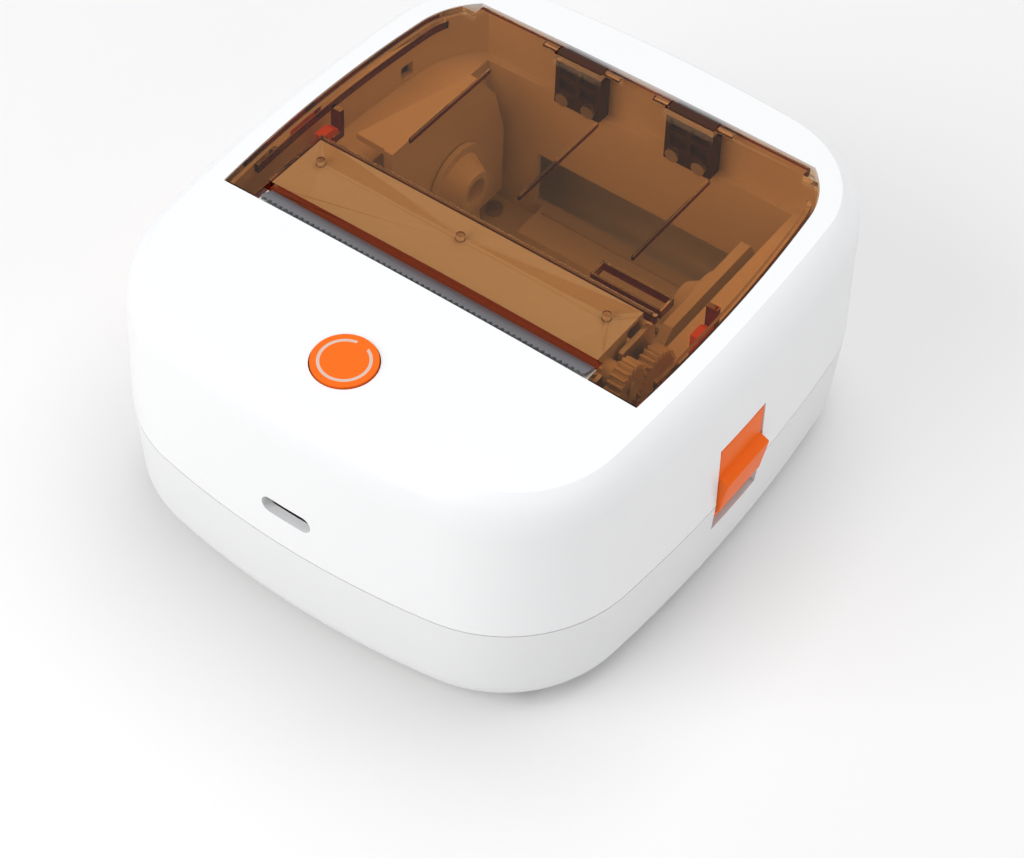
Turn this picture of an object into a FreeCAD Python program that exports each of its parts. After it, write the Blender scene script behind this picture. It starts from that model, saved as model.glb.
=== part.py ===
import FreeCAD, Part
import math
import os
import re

# A desktop thermal label printer: a white clamshell case, an amber see-through lid over the
# roll bay, a platen roller carried by the lid, and the head, gears, latches and boards inside.
# Millimetres. +X right, +Y to the back, +Z up; the origin is under the middle of the base.

SIZES = {
    # case outline at the seam: four long arcs joined by corner arcs
    "half_width": 67.0, "half_depth": 75.0,
    "side_arc": 405.0, "front_arc": 212.0, "back_arc": 374.0,
    "front_corner": 34.5, "back_corner": 33.5,
    # case heights and walls
    "underside": 1.5, "floor_top": 4.0, "seam_height": 28.4, "seam_half_gap": 0.15,
    "deck_underside": 66.0, "deck_height": 70.0, "blend_height": 70.6,
    "wall": 2.3, "wall_draft": 1.5, "base_draft": 3.4,
    "edge_radius": 12.0, "inner_edge": 9.7, "base_edge": 8.0, "base_inner_edge": 5.7,
    "crown_radius": 1800.0,
    "tongue_in": 1.3, "tongue_top": 30.3, "tongue_root": 26.0, "rebate_in": 1.1, "rebate_top": 30.6,
    # case posts, feet and screws
    "front_post_x": 50.6, "front_post_y": -56.0, "rear_post_x": 53.3, "rear_post_y": 55.4,
    "post_radius": 3.2, "post_split": 26.2, "post_top": 64.0, "post_pilot": 1.3,
    "screw_well": 2.4, "screw_shelf": 20.0, "screw_head": 2.2, "screw_head_high": 2.0,
    "screw_shank": 1.25, "screw_tip": 34.0, "screw_clear": 1.5,
    "foot_x": 45.0, "foot_y": 50.0, "foot_radius": 5.0, "foot_seat": 2.0, "foot_clear": 0.2,
    # small screws that hold the chassis parts
    "chassis_head": 2.1, "chassis_head_high": 1.5, "chassis_shank": 0.95, "chassis_long": 7.0,
    "boss_radius": 2.8, "boss_pilot": 1.0,
    # lid window: an inset of the case outline cut by a front and a back line
    "window_in": 10.9, "window_front": -27.5, "window_back": 56.9, "lid_gap": 0.35,
    "corner_trim_x": 45.5, "corner_trim_y": 53.0,
    "lid_under": 66.2, "lid_front_notch": -21.7, "notch_left": -46.6, "notch_right": 42.8,
    "rib_middle": -1.3, "rib_pitch": 30.4, "rib_half": 0.3, "rib_front": 9.4, "rib_back": 40.0,
    "rib_low": 64.9, "beam_front": -2.5, "beam_back": -1.5, "beam_low": 63.9,
    "clip_left": 24.8, "clip_right": 43.2, "clip_front": -0.4, "clip_back": 4.6, "clip_wall": 0.6,
    "rim_in": 1.0, "rim_wide": 1.2, "rim_low": 63.8, "rim_front": -18.0, "rim_back": 48.0,
    # hinge
    "hinge_y": 54.6, "hinge_z": 67.4, "lid_round": 1.8, "knuckle": 1.75,
    "hinge_x": 15.5, "bracket_half": 6.4, "hinge_notch_half": 6.7, "ear_wide": 3.9,
    "bracket_front": 52.8, "bracket_back": 56.7, "bracket_low": 52.05, "bracket_high": 66.4,
    "pin_radius": 1.0, "running": 0.05,
    # roll bay
    "collar_out": 0.8, "collar_in": 0.8, "collar_front": -26.0, "collar_back": 58.9,
    "collar_back_in": 57.3, "collar_top": 65.3, "ledge_low": 50.4, "ledge_top": 52.0,
    "well_half": 43.0, "well_front": 2.0, "well_back": 55.0, "well_floor": 9.6, "well_under": 8.0,
    "bay_wall": 1.6, "well_sill": 46.0, "slot_half": 27.5, "slot_low": 14.2, "slot_high": 30.0,
    "step_left": -25.0, "step_right": 19.0, "step_front": 44.0,
    "keyhole_front": 35.0, "keyhole_back": 39.0, "keyhole_low": 53.5, "keyhole_high": 57.5,
    "bay_boss_x": 36.0, "bay_boss_front": 8.0, "bay_boss_back": 50.0,
    # roll guides, their racks and pinion
    "guide_in": 35.5, "guide_out": 38.0, "guide_low": 11.4, "guide_top": 60.0,
    "guide_front": 8.0, "guide_back": 52.0, "flange_out": 46.5, "flange_low": 58.2,
    "low_guide_top": 46.0,
    "hub_y": 32.0, "hub_z": 34.0, "stub_radius": 3.4, "stub_long": 3.0,
    "hub_flange": 10.0, "hub_flange_thick": 1.4, "hub_root": 8.6, "hub_tip": 5.0, "hub_long": 6.2,
    "hub_gap": 0.3,
    "rack_module": 0.8, "pinion_teeth": 16.0, "pinion_y": 31.5, "rack_low": 4.4, "rack_high": 7.6,
    "rack_back": 3.1, "rack_outer": 38.0, "rack_inner": 20.0, "pinion_post": 1.6,
    "neck_slot_out": 41.5, "neck_slot_in": 17.0, "neck_clear": 0.4,
    # platen roller in the lid
    "platen_y": -17.2, "platen_z": 60.2, "platen_radius": 4.8, "platen_left": -45.0,
    "platen_right": 38.4, "shaft_core": 2.6, "journal": 2.0, "shaft_left": -50.2,
    "shaft_right": 48.2, "bush_radius": 3.2, "bush_left": -50.0, "bush_left_in": -45.9,
    "bush_right_in": 38.9, "bush_right": 43.2, "cheek": 1.2, "cheek_left": -47.4,
    "cheek_right": 39.2, "plate_front": -21.2, "plate_back": -3.0, "plate_low": 65.2,
    "plate_flange_low": 58.0, "cheek_low": 56.2, "cheek_front": -21.0, "cheek_back": -9.0,
    "plate_screw_y": -9.2, "carrier_screw_long": 3.0,
    # head, tear bar and paper path
    "head_face": -22.35, "head_thick": 1.0, "head_low": 50.0, "head_high": 64.8,
    "head_left": -45.0, "head_right": 38.0, "sink_thick": 2.0, "sink_left": -46.8,
    "sink_right": 40.0, "head_pivot_y": -24.4, "head_pivot_z": 42.5, "head_pivot_radius": 1.2,
    "sink_boss": 2.6, "spring_radius": 2.0, "spring_wire": 0.35, "spring_long": 4.2,
    "spring_z": 57.0, "spring_spread": 30.0,
    "shelf_back": -22.6, "shelf_low": 65.6, "shelf_top": 67.2, "blade_thick": 0.8,
    "blade_slot_back": -26.0,
    "blade_bridge": 1.2,
    "blade_left": -45.4, "blade_right": 41.6, "blade_back": -22.7, "blade_root": -26.3,
    "tooth_pitch": 1.5, "tooth_deep": 0.8,
    "chute_half": 41.1, "chute_left": -48.1, "chute_thick": 1.4,
    "chute_bend_y": -4.0, "chute_bend_z": 51.5, "chute_end_y": -14.0, "chute_end_z": 53.2,
    "sensor_left": -5.6, "sensor_right": 1.6, "sensor_front": -11.1, "sensor_back": -5.9,
    "sensor_low": 48.6, "sensor_top": 52.0,
    # steel frame that carries the head, the motor and the gears
    "frame_left": -49.6, "frame_right": 42.4, "sheet": 1.2, "frame_front": -32.0,
    "frame_back": -8.0, "frame_low": 38.0, "frame_high": 63.5, "cross_high": 62.0,
    "slot_radius": 3.7, "gear_cheek_back": -1.0, "gear_cheek_low": 8.0,
    # gears
    "gear_module": 0.5, "platen_teeth": 20.0, "small_teeth": 28.0, "large_teeth": 42.0,
    "motor_teeth": 18.0, "gear_left": 43.8, "gear_right": 47.6, "axle_radius": 1.0,
    "small_y": -7.3, "axle_end": 48.4, "motor_y": -14.6, "motor_z": 22.3,
    "motor_radius": 12.5, "motor_left": 19.0, "motor_boss": 4.0, "backlash": 0.1,
    # latches and their release levers
    "hook_in": 50.0, "hook_out": 52.4, "hook_y": 2.5, "hook_z": 46.0, "hook_boss": 2.8,
    "hook_top": 62.4, "nose_low": 60.2, "nose_tip": 6.6, "hook_front": 1.0, "hook_back": 4.0,
    "tail_front": -10.0, "tail_low": 44.6, "tail_top": 47.2,
    "catch_low": 57.6, "catch_top": 59.8, "catch_front": 4.4, "catch_back": 8.4, "catch_wall": 1.4,
    "lug_in": 48.2, "lug_out": 54.2, "lug_low": 43.0, "lug_front": 0.0, "lug_back": 5.0,
    "lever_out": 66.5, "lever_in": 64.1, "lever_front": -9.0, "lever_back": 8.0,
    "lever_low": 23.6, "lever_high": 46.0, "lever_gap": 0.4, "lever_well": 20.0,
    "lip_out": 71.0, "flange_face": 63.4, "flange_inner": 61.6, "flange_margin": 2.5,
    "flange_foot": 23.6, "flange_head": 51.0, "arm_in": 50.0, "arm_front": -10.0,
    "arm_back": -6.4, "arm_low": 47.6, "arm_high": 49.8, "shelf_z": 36.0, "shelf_thick": 1.6,
    "shelf_in": 55.5, "shelf_half": 3.0, "coil_x": 58.5, "coil_low": 24.0,
    # power button
    "button_y": -54.0, "button_radius": 7.3, "button_clear": 0.3, "button_proud": 0.5,
    "button_low": 62.6, "button_wall": 1.2, "button_skin": 1.6, "button_collar": 8.4,
    "button_collar_high": 1.2, "stem_radius": 1.8, "stem_low": 58.9,
    "ring_out": 5.9, "ring_in": 5.2, "ring_gap_left": -0.95, "ring_gap_right": 2.1, "ring_low": 68.7,
    "button_board_low": 53.6, "board_thick": 1.6, "button_board_half": 15.4,
    "button_board_front": -62.0, "button_board_back": -46.0, "button_boss_x": 12.4,
    "switch_half": 3.0, "switch_high": 2.0, "plunger_radius": 1.6, "plunger_top": 58.0,
    # main board, port and battery
    "board_half": 43.0, "board_front": -66.0, "board_back": -36.0, "board_low": 36.0,
    "board_post_x": 39.0, "board_post_front": -61.0, "board_post_back": -40.0,
    "port_half": 4.4, "port_radius": 2.2, "port_z": 39.3, "socket_half": 4.5,
    "socket_front": -72.0, "socket_back": -64.8, "socket_top": 41.0, "socket_wall": 0.5,
    "cell_radius": 9.1, "cell_half": 32.5, "cell_front": -58.5, "cell_back": -39.5, "cell_z": 14.2,
    "tray_half": 35.0, "tray_front": -61.4, "tray_back": -30.2, "tray_top": 10.0,
    "frame_post_left": -44.0, "frame_post_right": 5.0, "frame_post_front": -19.5,
    "frame_post_back": -11.0,
    "capacitor_radius": 3.1, "capacitor_high": 7.0, "motor_socket_left": 16.0,
    "motor_socket_right": 26.0,
    "lead_radius": 0.9, "ribbon_thick": 0.3, "ribbon_left": -18.0, "ribbon_right": 10.0,
}

BIG = 200
DOC = FreeCAD.newDocument("LabelPrinter")
SHEET = DOC.addObject("Spreadsheet::Sheet", "Sizes")
for row, (alias, number) in enumerate(SIZES.items(), start=1):
    SHEET.set(f"A{row}", alias)
    SHEET.set(f"B{row}", str(number))
    SHEET.setAlias(f"B{row}", alias)
DOC.recompute()

V = FreeCAD.Vector
WORD = re.compile(r"[a-z_]+")
TURNS = {
    "X": FreeCAD.Rotation(V(0, 1, 0), 90),
    "Y": FreeCAD.Rotation(V(1, 0, 0), -90),
    "Z": FreeCAD.Rotation(),
}
NODES = {}


def size(alias):
    """The number in the sheet under this name."""
    return float(SHEET.get(alias))


def bind(thing, place, rule):
    """Tie one property to a formula of the sheet's names."""
    text = WORD.sub(lambda m: "Sizes." + m.group(0) if m.group(0) in SIZES else m.group(0), str(rule))
    thing.setExpression(place, text)


def node(label, thing):
    """Name a finished sub-part."""
    thing.Label = label
    NODES[label] = thing
    return thing


# ---- plain solids and how they join

def block(name, x, y, z):
    """A box between two places on each axis."""
    box = DOC.addObject("Part::Box", name)
    for span, side, axis in zip((x, y, z), ("Length", "Width", "Height"), "xyz"):
        bind(box, side, f"({span[1]}) - ({span[0]})")
        bind(box, "Placement.Base." + axis, span[0])
    return box


def rod(name, along, radius, span, across):
    """A cylinder along X, Y or Z, through a point given across that axis."""
    bar = DOC.addObject("Part::Cylinder", name)
    bar.Placement = FreeCAD.Placement(V(), TURNS[along])
    bind(bar, "Radius", radius)
    bind(bar, "Height", f"({span[1]}) - ({span[0]})")
    places = list(across)
    places.insert("XYZ".index(along), span[0])
    for axis, place in zip("xyz", places):
        bind(bar, "Placement.Base." + axis, place)
    return bar


def fuse(name, *pieces):
    joined = DOC.addObject("Part::MultiFuse", name)
    joined.Shapes = list(pieces)
    joined.Refine = True
    return joined


def cut(name, base, *tools):
    cutter = tools[0] if len(tools) == 1 else fuse(name + "_tools", *tools)
    result = DOC.addObject("Part::Cut", name)
    result.Base = base
    result.Tool = cutter
    result.Refine = True
    return result


def common(name, base, tool):
    result = DOC.addObject("Part::Common", name)
    result.Base = base
    result.Tool = tool
    result.Refine = True
    return result


def group(name, *pieces):
    """Separate solids that share one node."""
    bundle = DOC.addObject("Part::Compound", name)
    bundle.Links = list(pieces)
    return bundle


def mirrored(name, source):
    """The same piece on the left side."""
    twin = DOC.addObject("Part::Mirroring", name)
    twin.Source = source
    twin.Normal = V(1, 0, 0)
    return twin


def tube(name, along, outer, inner, span, across):
    return cut(name, rod(name + "_outer", along, outer, span, across),
               rod(name + "_bore", along, inner, (f"({span[0]}) - 1", f"({span[1]}) + 1"), across))


# ---- padded sketches

def sketch_on(body, name, plane, offset):
    """A sketch on one of the body's own origin planes, moved along its normal."""
    sketch = body.newObject("Sketcher::SketchObject", name)
    origin_plane = [f for f in body.Origin.OriginFeatures if f.Role == plane][0]
    sketch.AttachmentSupport = [(origin_plane, "")]
    sketch.MapMode = "FlatFace"
    bind(sketch, "AttachmentOffset.Base.z", offset)
    return sketch


def padded(name, plane, edges, span, draft=None, downward=False):
    """A body padded from a closed sketch between two places along the plane's axis."""
    body = DOC.addObject("PartDesign::Body", name)
    start = f"-({span[0]})" if plane == "XZ_Plane" else span[0]
    sketch = sketch_on(body, name + "_sketch", plane, start)
    sketch.addGeometry(edges)
    pad = body.newObject("PartDesign::Pad", name + "_pad")
    pad.Profile = sketch
    pad.Reversed = downward or plane == "XZ_Plane"
    bind(pad, "Length", f"abs(({span[1]}) - ({span[0]}))")
    if draft:
        bind(pad, "TaperAngle", f"-({draft})")
    return body


def polygon(points):
    """Sketch lines through flat points, closed."""
    corners = [V(x, y, 0) for x, y in points]
    return [Part.LineSegment(a, b) for a, b in zip(corners, corners[1:] + corners[:1])]


def rounded(body, radius, level):
    """Round all the edges of a body that lie at one height."""
    DOC.recompute()
    last = body.Tip
    edges = []
    for number, edge in enumerate(last.Shape.Edges, start=1):
        box = edge.BoundBox
        if abs(box.ZMin - level) < 0.01 and abs(box.ZMax - level) < 0.01:
            edges.append(f"Edge{number}")
    fillet = body.newObject("PartDesign::Fillet", body.Name + "_round")
    fillet.Base = (last, edges)
    bind(fillet, "Radius", radius)
    return body


# ---- the case outline

def meeting(first, first_radius, second, second_radius, back):
    """Where two circles cross, on the +X side and towards the front or the back."""
    across = V(second) - V(first)
    far = across.Length
    along = (first_radius ** 2 - second_radius ** 2 + far ** 2) / (2 * far)
    off = math.sqrt(first_radius ** 2 - along ** 2)
    unit = across / far
    side = V(-unit.y, unit.x, 0)
    places = [first + unit * along + side * off * way for way in (1, -1)]
    return max(places, key=lambda p: p.x + back * p.y)


def arc_about(centre, radius, start, end):
    """The short arc about a centre between two points of its circle."""
    middle = (start - centre).normalize() + (end - centre).normalize()
    return Part.Arc(start, centre + middle.normalize() * radius, end)


def outline(inset):
    """The case outline moved inwards: side, front and back arcs with a corner arc between each."""
    width, depth = size("half_width") - inset, size("half_depth") - inset
    sides, front, back = (size(k) - inset for k in ("side_arc", "front_arc", "back_arc"))
    front_corner, back_corner = size("front_corner") - inset, size("back_corner") - inset
    side_centre, front_centre, back_centre = V(width - sides, 0), V(0, front - depth), V(0, depth - back)
    front_turn = meeting(side_centre, sides - front_corner, front_centre, front - front_corner, -1)
    back_turn = meeting(side_centre, sides - back_corner, back_centre, back - back_corner, 1)

    def touch(centre, turn, radius):
        return centre + (turn - centre).normalize() * radius

    a = touch(front_centre, front_turn, front)
    b = touch(side_centre, front_turn, sides)
    c = touch(side_centre, back_turn, sides)
    d = touch(back_centre, back_turn, back)

    def flip(place):
        return V(-place.x, place.y)

    right = [(front_turn, front_corner, a, b), (side_centre, sides, b, c), (back_turn, back_corner, c, d)]
    left = [(flip(centre), radius, flip(end), flip(start))
            for centre, radius, start, end in reversed(right)]
    runs = right + [(back_centre, back, d, flip(d))] + left + [(front_centre, front, flip(a), a)]
    return [arc_about(centre, radius, start, end) for centre, radius, start, end in runs]


def outline_slab(name, inset, low, high):
    return padded(name, "XY_Plane", outline(inset), (low, high))


def window_slab(name, grow, front, back, low, high):
    """The lid window's shape, grown outwards, between a front and a back line."""
    slab = outline_slab(name + "_outline", size("window_in") - grow, low, high)
    return common(name, slab, block(name + "_lines", (-BIG, BIG), (front, back), (low, high)))


def crown(name, rise):
    """The gentle dome of the deck."""
    ball = DOC.addObject("Part::Sphere", name)
    bind(ball, "Radius", "crown_radius")
    bind(ball, "Placement.Base.z", f"deck_height + ({rise}) - crown_radius")
    return ball


def at_sides(name, make):
    """Two copies of a piece, one for each side: make(name, sign)."""
    return [make(name + "_right", "1"), make(name + "_left", "-1")]


CASE_POSTS = [(f"{side} * {x}", y) for side in ("1", "-1")
              for x, y in (("front_post_x", "front_post_y"), ("rear_post_x", "rear_post_y"))]
BOARD_POSTS = [(f"{side} * board_post_x", y) for side in ("1", "-1")
               for y in ("board_post_front", "board_post_back")]
FRAME_POSTS = [(x, y) for x in ("frame_post_left", "frame_post_right")
               for y in ("frame_post_front", "frame_post_back")]
BAY_BOSSES = [(f"{side} * bay_boss_x", y) for side in ("1", "-1")
              for y in ("bay_boss_front", "bay_boss_back")]
BUTTON_BOSSES = [(f"{side} * button_boss_x", "button_y") for side in ("1", "-1")]


def rods_at(name, radius, places, low, high):
    """Upright rods of one size at a list of places."""
    return [rod(f"{name}_{i}", "Z", radius, (low, high), place)
            for i, place in enumerate(places, start=1)]


def side_block(name, side, x, y, z):
    """A block given for the right side, or its mirror image place on the left."""
    if side == "1":
        return block(name, x, y, z)
    return block(name, (f"-({x[1]})", f"-({x[0]})"), y, z)


# ---- case

def lever_opening(name, side, low, high):
    """The gap in the side wall that a release lever works in."""
    return side_block(name, side, ("flange_face", "lip_out"),
                      ("lever_front - lever_gap", "lever_back + lever_gap"), (low, high))


def make_upper_shell():
    top = "seam_height + seam_half_gap"
    skin = padded("upper_skin", "XY_Plane", outline(0), (top, "blend_height"), "wall_draft")
    rounded(skin, "edge_radius", size("blend_height"))
    hollow = padded("upper_hollow", "XY_Plane", outline(size("wall")),
                    ("seam_height - 2", "deck_underside"), "wall_draft")
    rounded(hollow, "inner_edge", size("deck_underside"))
    domed = common("upper_domed", skin, crown("deck_crown", 0))
    rebate = outline_slab("upper_rebate", size("rebate_in"), "seam_height - 2", "rebate_top")
    shell = cut("upper_hollowed", domed, hollow, rebate)
    posts = rods_at("upper_post", "post_radius", CASE_POSTS, "post_split", "post_top")
    bosses = rods_at("button_boss", "boss_radius", BUTTON_BOSSES,
                     "button_board_low + board_thick", "deck_underside + 1")
    shelf = block("blade_shelf", ("blade_left - 1.2", "blade_right + 0.6"),
                  ("window_front - 2", "shelf_back"), ("shelf_low", "shelf_top"))
    window = window_slab("window_cut", 0, "window_front", "window_back", "deck_underside - 6",
                         "blend_height + 1")
    opened = cut("upper_window", shell, window)
    filled = fuse("upper_filled", opened, shelf, *posts, *bosses)
    pilots = rods_at("upper_pilot", "post_pilot", CASE_POSTS, "post_split - 1", "screw_tip + 2")
    board_pilots = rods_at("button_pilot", "boss_pilot", BUTTON_BOSSES,
                           "button_board_low", "button_board_low + chassis_long + 2")
    levers = [lever_opening(f"upper_lever_gap_{i}", side, "seam_height - 2", "lever_high + lever_gap")
              for i, side in enumerate(("1", "-1"))]
    hole = rod("button_hole", "Z", "button_radius + button_clear",
               ("deck_underside - 3", "blend_height + 1"), (0, "button_y"))
    port = [block("port_middle", ("-port_half", "port_half"), ("-half_depth - 5", "socket_front + 0.5"),
                  ("port_z - port_radius", "port_z + port_radius"))]
    port += [rod(f"port_end_{i}", "Y", "port_radius", ("-half_depth - 5", "socket_front + 0.5"),
                 (x, "port_z"))
             for i, x in enumerate(("-port_half", "port_half"))]
    run = "(blade_right - blade_left) / 5"
    gaps = [block(f"blade_slot_{i}", (f"blade_left + {i} * {run} + blade_bridge / 2",
                                      f"blade_left + {i + 1} * {run} - blade_bridge / 2"),
                  ("window_front", "blade_slot_back"),
                  ("shelf_low - 1", "shelf_top + 1")) for i in range(5)]
    node("upper_shell", cut("upper_shell_body", filled, hole, *port, *gaps, *levers, *pilots,
                            *board_pilots))


def make_base_shell():
    top = "seam_height - seam_half_gap"
    skin = padded("base_skin", "XY_Plane", outline(0), (top, "underside"), "base_draft", True)
    rounded(skin, "base_edge", size("underside"))
    hollow = padded("base_hollow", "XY_Plane", outline(size("wall")), ("seam_height + 2", "floor_top"),
                    "base_draft", True)
    rounded(hollow, "base_inner_edge", size("floor_top"))
    shell = cut("base_hollowed", skin, hollow)
    tongue = cut("base_tongue",
                 outline_slab("tongue_out", size("tongue_in"), "tongue_root", "tongue_top"),
                 outline_slab("tongue_hole", size("wall"), "tongue_root - 1", "tongue_top + 1"))
    low = "floor_top - 1"
    posts = rods_at("base_post", "post_radius", CASE_POSTS, low, "post_split - seam_half_gap")
    posts += rods_at("board_post", "boss_radius", BOARD_POSTS, low, "board_low")
    posts += rods_at("frame_post", "boss_radius", FRAME_POSTS, low, "frame_low")
    posts += rods_at("bay_boss", "boss_radius", BAY_BOSSES, low, "well_under")
    posts += [rod("pinion_post_rod", "Z", "pinion_post", (low, "rack_high"), (0, "pinion_y"))]
    coils = [(f"{side} * coil_x", 0) for side in ("1", "-1")]
    posts += rods_at("coil_post", "spring_radius + 0.6", coils, low, "coil_low")
    posts += rods_at("coil_spigot", "spring_radius - 0.7", coils, low, "coil_low + 4")
    filled = fuse("base_filled", shell, tongue, *posts)
    feet = [(f"{x} * foot_x", f"{y} * foot_y") for x in (1, -1) for y in (1, -1)]
    cuts = rods_at("foot_recess", "foot_radius + foot_clear", feet, "underside - 1", "foot_seat")
    cuts += rods_at("case_screw_well", "screw_well", CASE_POSTS, "underside - 1", "screw_shelf")
    cuts += rods_at("case_screw_hole", "screw_clear", CASE_POSTS, "screw_shelf - 1", "post_split + 1")
    for name, places, height in (("board", BOARD_POSTS, "board_low"), ("frame", FRAME_POSTS, "frame_low"),
                                 ("bay", BAY_BOSSES, "well_under")):
        deep = f"max({height} - chassis_long - 2; floor_top - 1)"
        cuts += rods_at(name + "_pilot", "boss_pilot", places, deep, f"{height} + 1")
    cuts += [lever_opening(f"base_lever_gap_{i}", side, "lever_well", "rebate_top")
             for i, side in enumerate(("1", "-1"))]
    cuts += [block("rear_slot", ("-slot_half", "slot_half"), ("half_depth - 12", "half_depth + 5"),
                   ("slot_low + 0.3", "slot_low + 6.3"))]
    node("base_shell", cut("base_shell_body", filled, *cuts))
    node("rubber_feet", group("feet_group", *rods_at("foot", "foot_radius", feet, 0, "foot_seat")))


def screw(name, place, seat, length, head, head_high, shank, upward=False):
    """A pan-head screw seated at a height; an upward one is driven from below."""
    if upward:
        cap = rod(name + "_head", "Z", head, (f"({seat}) - {head_high}", seat), place)
        stem = rod(name + "_shank", "Z", shank, (seat, f"({seat}) + {length}"), place)
    else:
        cap = rod(name + "_head", "Z", head, (seat, f"({seat}) + {head_high}"), place)
        stem = rod(name + "_shank", "Z", shank, (f"({seat}) - {length}", seat), place)
    return fuse(name, cap, stem)


def make_screws():
    case = [screw(f"case_screw_{i}", place, "screw_shelf", "(screw_tip - screw_shelf)", "screw_head",
                  "screw_head_high", "screw_shank", True) for i, place in enumerate(CASE_POSTS)]
    node("case_screws", group("case_screw_group", *case))
    small = ("chassis_head", "chassis_head_high", "chassis_shank")
    chassis = []
    for name, places, seat, length in (
            ("board", BOARD_POSTS, "board_low + board_thick", "chassis_long"),
            ("frame", FRAME_POSTS, "frame_low + sheet", "chassis_long"),
            ("bay", BAY_BOSSES, "well_floor", "(well_floor - floor_top)")):
        chassis += [screw(f"{name}_screw_{i}", place, seat, length, *small)
                    for i, place in enumerate(places)]
    chassis += [screw(f"button_screw_{i}", place, "button_board_low", "chassis_long", *small, upward=True)
                for i, place in enumerate(BUTTON_BOSSES)]
    node("chassis_screws", group("chassis_screw_group", *chassis))


# ---- lid

def make_lid():
    gap = size("lid_gap")
    plate = window_slab("lid_plate", -gap, "window_front + lid_gap", "hinge_y + lid_round",
                        "lid_under", "blend_height + 1")
    top = common("lid_crowned", plate, crown("lid_crown", 0))
    behind = block("lid_behind", (-BIG, BIG), ("hinge_y", "window_back + 1"),
                   ("lid_under - 1", "blend_height + 2"))
    barrel = rod("lid_barrel", "X", "lid_round", (-BIG, BIG), ("hinge_y", "hinge_z"))
    trim = cut("lid_rear_trim", behind, barrel)
    notch = block("lid_blade_notch", ("notch_left", "notch_right"),
                  ("window_front - 1", "lid_front_notch"),
                  ("lid_under - 1", "blend_height + 2"))
    corners = [side_block(f"lid_corner_{i}", side, ("corner_trim_x", BIG),
                          ("corner_trim_y", "window_back + 1"),
                          ("lid_under - 1", "blend_height + 2")) for i, side in enumerate(("1", "-1"))]
    shaped = cut("lid_shaped", top, trim, notch, *corners)
    into = "lid_under + 0.5"
    ribs = [block(f"lid_rib_{i}", (f"rib_middle + {i - 1} * rib_pitch - rib_half",
                                   f"rib_middle + {i - 1} * rib_pitch + rib_half"),
                  ("rib_front", "rib_back"), ("rib_low", into)) for i in range(3)]
    ribs.append(block("lid_side_rib", ("cheek_left - 1.0", "cheek_left - 0.4"),
                      ("plate_front + 1", "beam_back"),
                      ("beam_low", into)))
    ribs.append(block("lid_beam", ("cheek_left", "clip_right"), ("beam_front", "beam_back"),
                      ("beam_low", into)))
    clip = cut("lid_clip", block("clip_outer", ("clip_left", "clip_right"), ("clip_front", "clip_back"),
                                 ("beam_low", into)),
               block("clip_inner", ("clip_left + clip_wall", "clip_right - clip_wall"),
                     ("clip_front + clip_wall", "clip_back - clip_wall"), ("beam_low - 1", "lid_under")))
    rim_out = window_slab("rim_outer", -gap - size("rim_in"), "rim_front", "rim_back", "rim_low", into)
    rim_in = outline_slab("rim_inner", size("window_in") + gap + size("rim_in") + size("rim_wide"),
                          "rim_low - 1", "lid_under + 1")
    rim = cut("lid_rim", rim_out, rim_in)
    catches = []
    for i, side in enumerate(("1", "-1")):
        x = ("hook_in - 0.2", "hook_out + 0.2")
        catches.append(side_block(f"catch_wall_{i}", side, x, ("catch_back - catch_wall", "catch_back"),
                                  ("catch_low", into)))
        catches.append(side_block(f"catch_foot_{i}", side, x, ("catch_front", "catch_back"),
                                  ("catch_low", "catch_top")))
    whole = fuse("lid_whole", shaped, rim, clip, *ribs, *catches)
    notches, bores = [], []
    for i, centre in enumerate(("-hinge_x", "hinge_x")):
        notches.append(block(f"hinge_notch_{i}",
                             (f"{centre} - hinge_notch_half", f"{centre} + hinge_notch_half"),
                             ("bracket_front - 0.7", "window_back + 1"),
                             ("lid_under - 2", "blend_height + 2")))
        reach = "(hinge_notch_half + ear_wide + 0.3)"
        bores.append(rod(f"lid_hinge_bore_{i}", "X", "pin_radius + running",
                         (f"{centre} - {reach}", f"{centre} + {reach}"),
                         ("hinge_y", "hinge_z")))
    pilots = rods_at("lid_pilot", "boss_pilot", PLATE_SCREWS, "lid_under - 1", "lid_under + 2.2")
    node("lid_window", cut("lid_body", whole, *notches, *bores, *pilots))


PLATE_SCREWS = [("cheek_left + 5", "plate_screw_y"), (-3.5, "plate_screw_y"),
                ("cheek_right - 4", "plate_screw_y")]


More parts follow.
